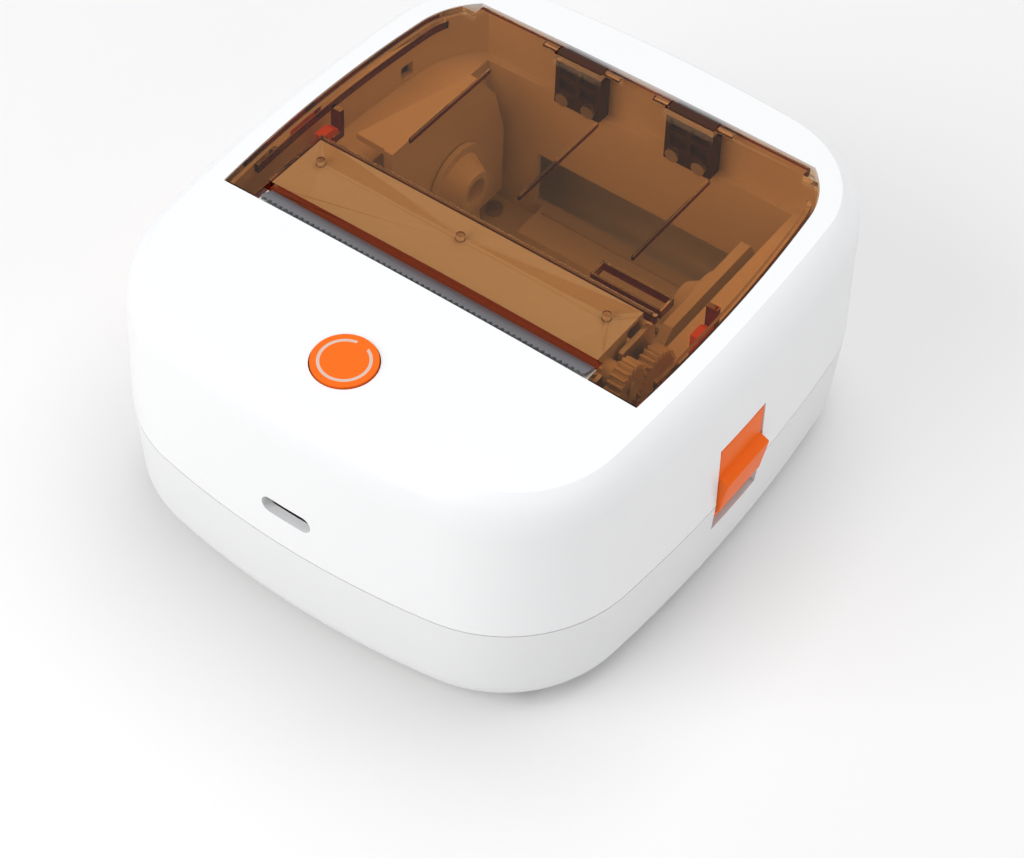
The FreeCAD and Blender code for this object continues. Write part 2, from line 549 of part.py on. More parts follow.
def make_platen():
    y = ("cheek_front", "cheek_back")
    top = block("carrier_top", ("cheek_left", "cheek_right + cheek"), ("plate_front", "plate_back"),
                ("plate_low", "lid_under"))
    lip = block("carrier_lip", ("cheek_left", "cheek_right + cheek"),
                ("plate_back - cheek", "plate_back"),
                ("plate_flange_low", "lid_under"))
    cheeks = [block(f"carrier_cheek_{i}", (x, f"{x} + cheek"), y, ("cheek_low", "lid_under"))
              for i, x in enumerate(("cheek_left", "cheek_right"))]
    holes = [rod(f"carrier_bore_{i}", "X", "bush_radius", (f"{x} - 1", f"{x} + cheek + 1"),
                 ("platen_y", "platen_z"))
             for i, x in enumerate(("cheek_left", "cheek_right"))]
    clear = rods_at("carrier_hole", "chassis_shank + 0.15", PLATE_SCREWS, "plate_low - 1",
                    "lid_under + 1")
    node("platen_carrier", cut("carrier_body", fuse("carrier_joined", top, lip, *cheeks), *holes, *clear))
    screws = [screw(f"carrier_screw_{i}", place, "plate_low", "carrier_screw_long", "chassis_head",
                    "chassis_head_high",
                    "chassis_shank", True) for i, place in enumerate(PLATE_SCREWS)]
    node("carrier_screws", group("carrier_screw_group", *screws))
    axis = ("platen_y", "platen_z")
    bushes = [tube(f"bush_{i}", "X", "bush_radius", "journal + running", span, axis)
              for i, span in enumerate((("bush_left", "bush_left_in"), ("bush_right_in", "bush_right")))]
    node("platen_bushings", group("bush_group", *bushes))
    core = rod("shaft_core_rod", "X", "shaft_core", ("platen_left - 0.4", "platen_right + 0.4"), axis)
    journal = rod("shaft_journal", "X", "journal", ("shaft_left", "shaft_right"), axis)
    node("platen_shaft", fuse("platen_shaft_body", core, journal))
    node("platen_rubber", tube("rubber_tube", "X", "platen_radius", "shaft_core",
                               ("platen_left", "platen_right"), axis))


# ---- gears

def involute_point(base, radius, turn):
    """The point of an involute at a radius, turned about the gear's middle."""
    roll = math.sqrt(max((radius / base) ** 2 - 1, 0))
    angle = turn + roll - math.atan(roll)
    return radius * math.cos(angle), radius * math.sin(angle)


def gear_points(teeth, module, backlash, start):
    """The flat outline of a spur gear with a tooth centred on the start angle."""
    pitch = teeth * module / 2
    base = pitch * math.cos(math.radians(20))
    tip, root = pitch + 0.9 * module, pitch - 1.25 * module
    lowest = max(base, root)
    at_pitch = math.sqrt((pitch / base) ** 2 - 1)
    half = math.pi / (2 * teeth) - backlash / (2 * pitch) + at_pitch - math.atan(at_pitch)
    radii = [lowest + (tip - lowest) * step / 4 for step in range(5)]
    flank = [involute_point(base, radius, -half) for radius in radii]
    if root < lowest:
        flank.insert(0, (root * math.cos(-half), root * math.sin(-half)))
    tooth = flank + [(x, -y) for x, y in reversed(flank)]
    points = []
    for number in range(int(teeth)):
        turn = start + 2 * math.pi * number / teeth
        points += [(x * math.cos(turn) - y * math.sin(turn), x * math.sin(turn) + y * math.cos(turn))
                   for x, y in tooth]
    return points


def spur_gear(label, teeth, start, axis, span, bore, hub=0):
    """A gear in the YZ plane: code-made, because a sheet can't hold an involute."""
    points = [V(span[0], y + axis[0], z + axis[1])
              for y, z in gear_points(teeth, size("gear_module"), size("backlash"), start)]
    face = Part.Face(Part.makePolygon(points + points[:1]))
    disc = face.extrude(V(span[1] - span[0], 0, 0))
    middle = V(span[0] - 1, axis[0], axis[1])
    if hub:
        disc = disc.fuse(Part.makeCylinder(hub, span[1] - span[0] + 0.6, V(span[0] - 0.6, *axis),
                                           V(1, 0, 0)))
    disc = disc.cut(Part.makeCylinder(bore, span[1] - span[0] + 4, middle, V(1, 0, 0)))
    gear = DOC.addObject("Part::Feature", label + "_feature")
    gear.Shape = disc
    node(label, gear)


def meshed_start(teeth, start, centre, other_teeth, other_centre):
    """The start angle of a second gear that puts its gap where the first gear's tooth is."""
    line = math.atan2(other_centre[1] - centre[1], other_centre[0] - centre[0])
    phase = (line - start) * teeth / (2 * math.pi)
    return line + math.pi - (0.5 - phase) * 2 * math.pi / other_teeth


def beyond(first, first_reach, second, second_reach, way):
    """The point at set distances from two others, to one side of the line between them."""
    gap = math.dist(first, second)
    along = (first_reach ** 2 - second_reach ** 2 + gap ** 2) / (2 * gap)
    off = math.sqrt(first_reach ** 2 - along ** 2) * way
    unit = ((second[0] - first[0]) / gap, (second[1] - first[1]) / gap)
    return first[0] + unit[0] * along - unit[1] * off, first[1] + unit[1] * along + unit[0] * off


def gear_centres():
    """Platen gear, small idler, large idler and motor pinion, each touching the next."""
    half = size("gear_module") / 2
    platen = (size("platen_y"), size("platen_z"))
    reach = (size("platen_teeth") + size("small_teeth")) * half
    small_y = size("small_y")
    small = (small_y, platen[1] - math.sqrt(reach ** 2 - (small_y - platen[0]) ** 2))
    motor = (size("motor_y"), size("motor_z"))
    large = beyond(small, (size("small_teeth") + size("large_teeth")) * half,
                   motor, (size("large_teeth") + size("motor_teeth")) * half, -1)
    return platen, small, large, motor


def make_gears():
    platen, small, large, motor = gear_centres()
    teeth = [size(k) for k in ("platen_teeth", "small_teeth", "large_teeth", "motor_teeth")]
    starts = [0.0]
    chain = (platen, small, large, motor)
    for i in range(3):
        starts.append(meshed_start(teeth[i], starts[i], chain[i], teeth[i + 1], chain[i + 1]))
    span = (size("gear_left"), size("gear_right"))
    running = size("axle_radius") + size("running")
    spur_gear("platen_gear", teeth[0], starts[0], platen, span, size("journal"))
    spur_gear("idler_gear_small", teeth[1], starts[1], small, span, running, 2.6)
    spur_gear("idler_gear_large", teeth[2], starts[2], large, span, running, 3.2)
    spur_gear("motor_pinion", teeth[3], starts[3], motor, span, size("axle_radius"))
    axles = [rod(f"axle_{i}", "X", "axle_radius", ("frame_right - sheet", "axle_end"), centre)
             for i, centre in enumerate((small, large))]
    node("gear_axles", group("axle_group", *axles))
    return small, large


def make_motor():
    axis = ("motor_y", "motor_z")
    can = rod("motor_can", "X", "motor_radius", ("motor_left", "frame_right - sheet"), axis)
    nose = rod("motor_nose", "X", "motor_boss", ("frame_right - 3", "frame_right"), axis)
    cap = rod("motor_cap", "X", "motor_boss + 2", ("motor_left - 1.5", "motor_left + 1"), axis)
    bore = rod("motor_bore", "X", "axle_radius + running", ("frame_right - 8", "frame_right + 1"), axis)
    node("stepper_motor", cut("motor_body", fuse("motor_joined", can, nose, cap), bore))
    node("motor_shaft", rod("motor_shaft_rod", "X", "axle_radius", ("frame_right - 7.5", "shaft_right"),
                            axis))


# ---- frame, head and paper path

def make_frame(small, large):
    cheek_y = ("frame_front", "frame_back")
    left = block("frame_cheek_left", ("frame_left", "frame_left + sheet"), cheek_y,
                 ("frame_low", "frame_high"))
    right = block("frame_cheek_right", ("frame_right - sheet", "frame_right"),
                  ("frame_front", "gear_cheek_back"), ("gear_cheek_low", "frame_high"))
    cross = block("frame_cross", ("frame_left", "frame_right"), ("frame_front", "frame_front + sheet"),
                  ("frame_low", "cross_high"))
    pan = block("frame_pan", ("frame_left", "frame_right"), cheek_y, ("frame_low", "frame_low + sheet"))
    through = ("frame_left - 1", "frame_right + 1")
    fork = rod("frame_fork", "X", "slot_radius", through, ("platen_y", "platen_z"))
    mouth = block("frame_mouth", through, ("platen_y - slot_radius", "platen_y + slot_radius"),
                  ("platen_z", "frame_high + 1"))
    pivot = rod("frame_pivot", "X", "head_pivot_radius", through, ("head_pivot_y", "head_pivot_z"))
    window = block("frame_window", ("ribbon_left - 2", "ribbon_right + 2"),
                   ("frame_front - 1", "frame_front + sheet + 1"), ("frame_low + 2.6", "frame_low + 7.5"))
    holes = [rod(f"frame_axle_{i}", "X", "axle_radius", ("frame_right - 3", "frame_right + 1"), centre)
             for i, centre in enumerate((small, large))]
    nose = rod("frame_nose", "X", "motor_boss", ("frame_right - 3", "frame_right + 1"),
               ("motor_y", "motor_z"))
    clears = rods_at("frame_clear", "chassis_shank + 0.2", FRAME_POSTS, "frame_low - 1",
                     "frame_low + sheet + 1")
    node("mechanism_frame", cut("frame_body", fuse("frame_joined", left, right, cross, pan),
                                fork, mouth, pivot, window, nose, *holes, *clears))


def make_head():
    back = "head_face - head_thick"
    node("print_head", block("head_block", ("head_left", "head_right"), (back, "head_face"),
                             ("head_low", "head_high")))
    plate = block("sink_plate", ("sink_left", "sink_right"), (f"{back} - sink_thick", back),
                  ("head_pivot_z", "head_high"))
    boss = rod("sink_boss_rod", "X", "sink_boss", ("sink_left", "sink_right"),
               ("head_pivot_y", "head_pivot_z"))
    bore = rod("sink_bore", "X", "head_pivot_radius + running", (-BIG, BIG),
               ("head_pivot_y", "head_pivot_z"))
    node("head_heatsink", cut("sink_body", fuse("sink_joined", plate, boss), bore))
    node("head_pivot_pin", rod("head_pin", "X", "head_pivot_radius",
                               ("frame_left - 0.5", "frame_right + 0.5"),
                               ("head_pivot_y", "head_pivot_z")))
    springs = [coil(f"head_spring_{i}", "Y", "spring_radius", ("frame_front + sheet", "spring_long"),
                    (x, "spring_z"), 4)
               for i, x in enumerate(("-spring_spread - 3", "-3", "spring_spread - 9"))]
    node("head_springs", group("head_spring_group", *springs))


def coil(name, along, radius, run, across, turns):
    """A round-wire compression spring: a circle swept along a helix."""
    start, length = run
    helix = DOC.addObject("Part::Helix", name + "_helix")
    bind(helix, "Radius", radius)
    bind(helix, "Height", f"{length} - 2 * spring_wire")
    bind(helix, "Pitch", f"({length} - 2 * spring_wire) / {turns}")
    wire = DOC.addObject("Part::Circle", name + "_wire")
    bind(wire, "Radius", "spring_wire")
    wire.Placement = FreeCAD.Placement(V(), FreeCAD.Rotation(V(1, 0, 0), 90))
    bind(wire, "Placement.Base.x", radius)
    sweep = DOC.addObject("Part::Sweep", name + "_sweep")
    DOC.recompute()
    sweep.Sections = [wire]
    sweep.Spine = (helix, [f"Edge{i + 1}" for i in range(len(helix.Shape.Edges))])
    sweep.Solid = True
    sweep.Frenet = True
    places = list(across)
    places.insert("XYZ".index(along), f"{start} + spring_wire")
    sweep.Placement = FreeCAD.Placement(V(), TURNS[along])
    for axis, place in zip("xyz", places):
        bind(sweep, "Placement.Base." + axis, place)
    return sweep


def make_tear_bar():
    """A steel strip with saw teeth along its front edge."""
    left, right = size("blade_left"), size("blade_right")
    count, root = round((right - left) / size("tooth_pitch")), size("blade_root")
    pitch = (right - left) / count
    points = [(right, size("blade_back")), (left, size("blade_back")), (left, root)]
    for number in range(count):
        points.append((left + (number + 0.5) * pitch, root - size("tooth_deep")))
        points.append((left + (number + 1) * pitch, root))
    node("tear_bar", padded("tear_bar_body", "XY_Plane", polygon(points),
                            ("shelf_top", "shelf_top + blade_thick")))


def make_paper_path():
    """The chute from the roll bay up to the nip, with the gap sensor in it."""
    back, sill = size("well_front"), size("well_sill")
    rise = [(back - size("bay_wall") - 0.3, sill + 0.6), (size("chute_bend_y"), size("chute_bend_z")),
            (size("chute_end_y"), size("chute_end_z"))]
    thick = size("chute_thick")
    points = rise + [(y, z - thick) for y, z in reversed(rise)]
    chute = padded("chute_plate", "YZ_Plane", polygon(points), ("chute_left", "chute_half"))
    hole = block("chute_window", ("sensor_left - 0.4", "sensor_right + 0.4"),
                 ("sensor_front - 0.4", "sensor_back + 0.4"), ("sensor_low - 8", "sensor_top + 8"))
    node("paper_chute", cut("chute_body", chute, hole))
    node("gap_sensor", block("sensor_block", ("sensor_left", "sensor_right"),
                             ("sensor_front", "sensor_back"),
                             ("sensor_low", "sensor_top")))


# ---- hinge

def make_hinges():
    def bracket(name, side):
        x = ("hinge_x - bracket_half", "hinge_x + bracket_half")
        body = side_block(name + "_body", side, x, ("bracket_front", "bracket_back"),
                          ("bracket_low", "bracket_high"))
        ends = (f"{side} * hinge_x - bracket_half", f"{side} * hinge_x + bracket_half")
        knuckle = rod(name + "_knuckle", "X", "knuckle", ends, ("hinge_y", "hinge_z"))
        bore = rod(name + "_bore", "X", "pin_radius", (f"{ends[0]} - 1", f"{ends[1]} + 1"),
                   ("hinge_y", "hinge_z"))
        pockets = [side_block(f"{name}_pocket_{i}{j}", side, x_span,
                              ("bracket_front - 1", "bracket_front + 1.6"), z_span)
                   for i, x_span in enumerate((("hinge_x - 5.2", "hinge_x - 0.6"),
                                               ("hinge_x + 0.6", "hinge_x + 5.2")))
                   for j, z_span in enumerate((("bracket_low + 5", "bracket_low + 8.2"),
                                               ("bracket_low + 9.4", "bracket_low + 12.8")))]
        holes = hinge_screw_holes(name, side)
        return cut(name, fuse(name + "_joined", body, knuckle), bore, *pockets, *holes)

    right, left = at_sides("hinge_block", bracket)
    node("hinge_bracket_right", right)
    node("hinge_bracket_left", left)
    ends = "hinge_notch_half + ear_wide"
    pins = [rod(f"hinge_pin_{i}", "X", "pin_radius",
                (f"{side} * hinge_x - ({ends})", f"{side} * hinge_x + {ends}"),
                ("hinge_y", "hinge_z")) for i, side in enumerate(("1", "-1"))]
    node("hinge_pins", group("hinge_pin_group", *pins))
    screws = []
    for i, (x, z) in enumerate(hinge_screw_places("1") + hinge_screw_places("-1")):
        head = rod(f"hinge_head_{i}", "Y", "chassis_head - 0.3", ("bracket_front - 1.2", "bracket_front"),
                   (x, z))
        shank = rod(f"hinge_shank_{i}", "Y", "chassis_shank", ("bracket_front", "collar_back - 0.2"),
                    (x, z))
        screws.append(fuse(f"hinge_screw_{i}", head, shank))
    node("hinge_screws", group("hinge_screw_group", *screws))


def hinge_screw_places(side):
    return [(f"{side} * (hinge_x - 3.6)", "bracket_low + 2.6"),
            (f"{side} * (hinge_x + 3.6)", "bracket_low + 2.6")]


def hinge_screw_holes(name, side):
    return [rod(f"{name}_screw_hole_{i}", "Y", "chassis_shank + 0.1",
                ("bracket_front - 1", "collar_back - 0.1"), place)
            for i, place in enumerate(hinge_screw_places(side))]


# ---- roll bay

def make_bay():
    collar = cut("collar_ring",
                 window_slab("collar_outer", size("collar_out"), "collar_front", "collar_back",
                             "ledge_low", "collar_top"),
                 window_slab("collar_inner", -size("collar_in"), -BIG, "collar_back_in",
                             "ledge_low - 1", "collar_top + 1"))
    ledge = window_slab("ledge_plate", size("collar_out"), "collar_front", "collar_back", "ledge_low",
                        "ledge_top")
    outer = block("well_outer", ("-well_half - bay_wall", "well_half + bay_wall"),
                  ("well_front - bay_wall", "well_back + bay_wall"), ("well_under", "ledge_top"))
    lugs = []
    for i, side in enumerate(("1", "-1")):
        for j, x in enumerate((("lug_in", "hook_in - 0.4"), ("hook_out + 0.4", "lug_out"))):
            lugs.append(side_block(f"latch_lug_{i}{j}", side, x, ("lug_front", "lug_back"),
                                   ("lug_low", "ledge_low + 0.8")))
    step = block("bay_step", ("step_left", "step_right"), ("step_front", "well_back + 0.5"),
                 ("well_floor - 1", "slot_low"))
    solid = fuse("bay_solid", collar, ledge, outer, *lugs)
    inner = ("-well_half", "well_half")
    cuts = [block("well_inner", inner, ("well_front", "well_back"), ("well_floor", "ledge_top + 1")),
            block("well_mouth", inner, ("well_front - bay_wall - 1", "well_front + 1"),
                  ("well_sill", "ledge_top + 1")),
            block("ledge_mouth", ("-hook_in - 0.5", "hook_in + 0.5"),
                  ("collar_front - 1", "well_front - bay_wall"),
                  ("ledge_low - 1", "ledge_top + 1")),
            block("bay_slot", ("-slot_half", "slot_half"), ("well_back - 1", "collar_back + 1"),
                  ("slot_low", "slot_high"))]
    for i, side in enumerate(("1", "-1")):
        cuts.append(side_block(f"hook_hole_{i}", side, ("hook_in - 0.3", "hook_out + 0.3"),
                               ("hook_y - 8.5", "nose_tip + 3"), ("ledge_low - 1", "ledge_top + 1")))
        cuts.append(rod(f"lug_bore_{i}", "X", "pin_radius",
                        (f"{side} * lug_in - 1" if side == "1" else "-lug_out - 1",
                                                            "lug_out + 1" if side == "1" else "-lug_in + 1"),
                        ("hook_y", "hook_z")))
        rack_line = f"pinion_y + {side} * (rack_module * (pinion_teeth / 2 + 1.2) + rack_back / 2)"
        cuts.append(side_block(f"neck_slot_{i}", side, ("neck_slot_in", "neck_slot_out"),
                               (f"{rack_line} - rack_back / 2 - neck_clear",
                                f"{rack_line} + rack_back / 2 + neck_clear"),
                               ("well_under - 1", "well_floor + 1")))
        cuts.append(side_block(f"collar_slot_{i}", side, ("half_width - 18", "half_width - 6"),
                               ("keyhole_front", "keyhole_back"), ("keyhole_low", "keyhole_high")))
    cuts += rods_at("bay_clear", "chassis_shank + 0.2", BAY_BOSSES, "well_under - 1", "well_floor + 1")
    holes = [rod(f"bay_hinge_hole_{i}", "Y", "chassis_shank", ("collar_back_in - 1", "collar_back - 0.1"),
                 place)
             for i, place in enumerate(hinge_screw_places("1") + hinge_screw_places("-1"))]
    groove = block("step_groove", ("step_left + 1", "step_right - 1"),
                   ("well_back - 2.8", "well_back - 2.2"),
                   ("slot_low - 0.6", "slot_low + 1"))
    hollowed = cut("bay_hollowed", solid, *cuts, *holes)
    node("roll_bay", cut("bay_body", fuse("bay_stepped", hollowed, step), groove))


def rack_points():
    """The right-hand guide's rack: teeth towards -Y, with a gap centred on the pinion."""
    module = size("rack_module")
    pitch = math.pi * module
    line = size("pinion_y") + module * size("pinion_teeth") / 2
    slope = math.tan(math.radians(20))
    half = pitch / 4 - 0.1
    tip, root = 0.9 * module, 1.2 * module
    first = -int(size("rack_inner") / pitch) * pitch + pitch / 2
    points = [(size("rack_outer"), line + root + size("rack_back")),
              (-size("rack_inner"), line + root + size("rack_back")),
              (-size("rack_inner"), line + root)]
    count = int((size("rack_outer") - 1 - first) / pitch)
    for number in range(count):
        centre = first + number * pitch
        points += [(centre - half - root * slope, line + root), (centre - half + tip * slope, line - tip),
                   (centre + half - tip * slope, line - tip), (centre + half + root * slope, line + root)]
    points.append((size("rack_outer"), line + root))
    return points


def make_guides():
    x = ("guide_in", "guide_out")
    front, back = size("guide_front"), size("guide_back")
    low, top = size("guide_low"), size("guide_top")
    over, under = size("step_front") - 1, size("slot_low") + 1.8
    foot = [(front, low), (over, low), (over, under), (back, under), (back, 36.0)]
    tall = padded("guide_plate_tall", "YZ_Plane",
                  polygon(foot + [(48.0, 50.0), (41.0, top), (front, top)]), x)
    crest = size("low_guide_top")
    short = padded("guide_plate_short", "YZ_Plane",
                   polygon(foot + [(46.0, crest), (front + 6.0, crest), (front, crest - 6.0)]), x)
    wedge = [(size("guide_in"), front + 0.4), (size("flange_out"), front + 0.8),
             (size("guide_out"), 41.0),
             (size("guide_in"), 41.0)]
    flange = padded("guide_flange", "XY_Plane", polygon(wedge), ("flange_low", "guide_top"))
    stub = rod("guide_stub", "X", "stub_radius", ("guide_in - stub_long", "guide_in + 1"),
               ("hub_y", "hub_z"))
    line = "pinion_y + rack_module * pinion_teeth / 2 + rack_module * 1.2"
    neck = block("guide_neck", x, (line, f"{line} + rack_back"), ("rack_high - 1", "guide_low + 1"))
    rack = padded("guide_rack", "XY_Plane", polygon(rack_points()), ("rack_low", "rack_high"))
    node("roll_guide_right", fuse("guide_right_body", short, stub, neck, rack))
    left = mirrored("guide_left_flip", fuse("guide_left_source", tall, flange, stub))
    turned = DOC.addObject("Part::Compound", "rack_turned")
    turned.Links = [fuse("rack_pair", neck, rack)]
    turned.Placement = FreeCAD.Placement(V(0, 2 * size("pinion_y"), 0), FreeCAD.Rotation(V(0, 0, 1), 180))
    node("roll_guide_left", fuse("guide_left_body", left, turned))
    face = "guide_in - hub_gap"
    disc = rod("hub_disc", "X", "hub_flange", (f"{face} - hub_flange_thick", face), ("hub_y", "hub_z"))
    cone = DOC.addObject("Part::Cone", "hub_cone")
    cone.Placement = FreeCAD.Placement(V(), TURNS["X"])
    for side, rule in (("Radius1", "hub_tip"), ("Radius2", "hub_root"), ("Height", "hub_long"),
                       ("Placement.Base.x", f"{face} - hub_long"), ("Placement.Base.y", "hub_y"),
                       ("Placement.Base.z", "hub_z")):
        bind(cone, side, rule)
    bore = rod("hub_bore", "X", "stub_radius + running", (f"{face} - 9", "guide_in + 1"),
               ("hub_y", "hub_z"))
    hub = cut("hub_body", fuse("hub_joined", disc, cone), bore)
    node("roll_hub_right", hub)
    node("roll_hub_left", mirrored("hub_left_body", hub))
    teeth = gear_points(size("pinion_teeth"), size("rack_module"), 0.2, 0.0)
    corners = [V(x, y + size("pinion_y"), size("rack_low")) for x, y in teeth]
    disc = Part.Face(Part.makePolygon(corners + corners[:1])).extrude(V(0, 0,
                                                                        size("rack_high") - size("rack_low")))
    bore = Part.makeCylinder(size("pinion_post") + size("running"), 20, V(0, size("pinion_y"), 0))
    pinion = DOC.addObject("Part::Feature", "guide_pinion_feature")
    pinion.Shape = disc.cut(bore)
    node("guide_pinion", pinion)


# ---- latches and levers

def make_latches():
    y, z = size("hook_y"), size("hook_z")
    front, back = size("hook_front"), size("hook_back")
    top, nose = size("hook_top"), size("nose_low")
    shape = [(size("tail_front"), size("tail_low")), (front, size("tail_low")), (front, z - 2),
             (back, z - 2),
             (back, nose), (size("nose_tip"), nose), (size("nose_tip"), nose + 0.8), (back + 0.6, top),
             (front, top), (front, size("tail_top")), (size("tail_front"), size("tail_top"))]
    arm = padded("hook_arm", "YZ_Plane", polygon(shape), ("hook_in", "hook_out"))
    boss = rod("hook_boss_rod", "X", "hook_boss", ("hook_in", "hook_out"), ("hook_y", "hook_z"))
    bore = rod("hook_bore", "X", "pin_radius + running", ("hook_in - 1", "hook_out + 1"),
               ("hook_y", "hook_z"))
    right = cut("hook_right_body", fuse("hook_joined", arm, boss), bore)
    node("latch_hook_right", right)
    node("latch_hook_left", mirrored("hook_left_body", right))
    pin = rod("latch_pin_right", "X", "pin_radius", ("lug_in", "lug_out"), ("hook_y", "hook_z"))
    node("latch_pins", group("latch_pin_group", pin, mirrored("latch_pin_left", pin)))


def make_levers():
    y = ("lever_front", "lever_back")
    face = block("lever_face", ("lever_in", "lever_out"), y, ("lever_low", "lever_high"))
    out, proud = size("lever_out") - 0.5, size("lip_out")
    foot = size("lever_low") + 0.4
    lip = [(out, 43.4), (out + 1.9, 41.0), (proud - 0.7, 38.2), (proud, 37.0), (proud, 35.4),
           (out + 1.3, foot), (out, foot)]
    finger = padded("lever_lip", "XZ_Plane", polygon(lip), y)
    backing = block("lever_backing", ("flange_inner", "flange_face"),
                    ("lever_front - flange_margin", "lever_back + flange_margin"),
                    ("flange_foot", "flange_head"))
    web = block("lever_web", ("flange_face - 0.5", "lever_in + 0.5"),
                ("lever_front + 1", "lever_back - 1"),
                ("lever_low + 1", "lever_high - 1"))
    arm = block("lever_arm", ("arm_in", "flange_inner + 0.5"), ("arm_front", "arm_back"),
                ("arm_low", "arm_high"))
    shelf = block("lever_shelf", ("shelf_in", "flange_inner + 0.5"), ("-shelf_half", "shelf_half"),
                  ("shelf_z", "shelf_z + shelf_thick"))
    right = fuse("lever_right_body", face, finger, backing, web, arm, shelf)
    node("release_lever_right", right)
    node("release_lever_left", mirrored("lever_left_body", right))
    for label, side in (("right", "1"), ("left", "-1")):
        spring = coil(f"lever_coil_{label}", "Z", "spring_radius", ("coil_low", "(shelf_z - coil_low)"),
                      (f"{side} * coil_x", 0), 5)
        node(f"lever_spring_{label}", spring)


# ---- button, boards, port and battery

def make_button():
    place = (0, "button_y")
    cap = rod("button_cap", "Z", "button_radius", ("button_low", "blend_height + 2"), place)
    domed = common("button_domed", cap, crown("button_crown", "button_proud"))
    inside = rod("button_inside", "Z", "button_radius - button_wall",
                 ("button_low - 1", "deck_height - button_skin - 0.6"), place)
    hollow = cut("button_hollow", domed, inside)
    collar = cut("button_ledge", rod("button_ledge_out", "Z", "button_collar",
                                     ("button_low", "button_low + button_collar_high"), place),
                 rod("button_ledge_in", "Z", "button_radius - button_wall",
                     ("button_low - 1", "button_low + button_collar_high + 1"), place))
    stem = rod("button_stem", "Z", "stem_radius", ("stem_low", "deck_height - button_skin"), place)
    ring = common("ring_domed",
                  tube("ring_tube", "Z", "ring_out", "ring_in", ("ring_low", "blend_height + 2"), place),
                  crown("ring_crown", "button_proud"))
    opening = block("ring_opening", ("ring_gap_left", "ring_gap_right"), ("button_y + 2", "button_y + 9"),
                    ("ring_low - 1", "blend_height + 3"))
    light = cut("ring_light", ring, opening)
    joined = fuse("button_joined", hollow, collar, stem)
    node("power_button", cut("button_body", joined, light))
    node("button_light_ring", light)
    board = block("button_board_plate", ("-button_board_half", "button_board_half"),
                  ("button_board_front", "button_board_back"),
                  ("button_board_low", "button_board_low + board_thick"))
    holes = rods_at("button_board_hole", "chassis_shank + 0.15", BUTTON_BOSSES, "button_board_low - 1",
                    "button_board_low + board_thick + 1")
    node("button_board", cut("button_board_body", board, *holes))
    top = "button_board_low + board_thick"
    case = block("switch_case", ("-switch_half", "switch_half"),
                 ("button_y - switch_half", "button_y + switch_half"),
                 (top, f"{top} + switch_high"))
    plunger = rod("switch_plunger", "Z", "plunger_radius", (top, "plunger_top"), place)
    node("tactile_switch", fuse("switch_body", case, plunger))


def make_board():
    y = ("board_front", "board_back")
    plate = block("board_plate", ("-board_half", "board_half"), y,
                  ("board_low", "board_low + board_thick"))
    holes = rods_at("board_hole", "chassis_shank + 0.15", BOARD_POSTS, "board_low - 1",
                    "board_low + board_thick + 1")
    node("main_board", cut("board_body", plate, *holes))
    top = "board_low + board_thick"
    parts = []
    for i, (x, across, deep, high) in enumerate(((-24, -56, 5, 1.2), (-6, -50, 3.5, 1.0),
                                                 (14, -52, 4, 1.4),
                                                 (27, -50, 3, 1.6), (-30, -42, 2.5, 1.0))):
        parts.append(block(f"chip_{i}", (x - deep, x + deep), (across - deep, across + deep),
                           (top, f"{top} + {high}")))
    for i, (x, across) in enumerate(((20, -61), (28, -61), (-16, -62))):
        parts.append(rod(f"capacitor_{i}", "Z", "capacitor_radius", (top, f"{top} + capacitor_high"),
                         (x, across)))
    parts.append(block("ribbon_socket", ("ribbon_left - 1", "ribbon_right + 1"), (-43, -40),
                       (top, f"{top} + 0.9")))
    parts.append(block("motor_socket", ("motor_socket_left", "motor_socket_right"), (-40, "board_back"),
                       (top, f"{top} + 3")))
    node("board_components", group("component_group", *parts))
    shell = block("socket_shell", ("-socket_half", "socket_half"), ("socket_front", "socket_back"),
                  (top, "socket_top"))
    mouth = block("socket_mouth", ("-socket_half + socket_wall", "socket_half - socket_wall"),
                  ("socket_front - 1", "socket_back - 1"),
                  (f"{top} + socket_wall", "socket_top - socket_wall"))
    tongue = block("socket_tongue", ("-socket_half + 1.2", "socket_half - 1.2"),
                   ("socket_front + 1", "socket_back - 0.5"),
                   ("port_z - 0.35", "port_z + 0.35"))
    node("charging_socket", fuse("socket_body", cut("socket_open", shell, mouth), tongue))


def make_battery():
    x = ("-cell_half", "cell_half")
    cells = [rod(f"cell_{i}", "X", "cell_radius", x, (y, "cell_z"))
             for i, y in enumerate(("cell_front", "cell_back"))]
    node("battery_cells", group("cell_group", *cells))
    tray = block("tray_block", ("-tray_half", "tray_half"), ("tray_front", "tray_back"),
                 ("floor_top", "tray_top"))
    beds = [rod(f"tray_bed_{i}", "X", "cell_radius", ("-cell_half - 0.2", "cell_half + 0.2"),
                (y, "cell_z"))
            for i, y in enumerate(("cell_front", "cell_back"))]
    node("battery_tray", cut("tray_body", tray, *beds))


def lead(label, route, radius):
    """A held wire: straight runs joined by tangent arcs, swept as a round tube."""
    points = [V(*p) for p in route]
    edges = []
    here = points[0]
    for before, corner, after in zip(points, points[1:], points[2:]):
        come, go = (corner - before), (after - corner)
        reach = 0.45 * min(come.Length, go.Length)
        start = corner - come.normalize() * reach
        end = corner + go.normalize() * reach
        turn = come.getAngle(go)
        bend = reach / math.tan(turn / 2)
        inward = (go - come).normalize()
        centre = corner + inward * math.hypot(reach, bend)
        middle = centre - inward * bend
        edges += [Part.LineSegment(here, start).toShape(), Part.Arc(start, middle, end).toShape()]
        here = end
    edges.append(Part.LineSegment(here, points[-1]).toShape())
    path = Part.Wire(edges)
    first = points[1] - points[0]
    section = Part.Wire([Part.Circle(points[0], first, radius).toShape()])
    tube_shape = path.makePipeShell([section], True, False)
    wanted = math.pi * radius ** 2 * path.Length
    print(label, "volume over section times length:", round(tube_shape.Volume / wanted, 4))
    wire = DOC.addObject("Part::Feature", label + "_feature")
    wire.Shape = tube_shape
    node(label, wire)


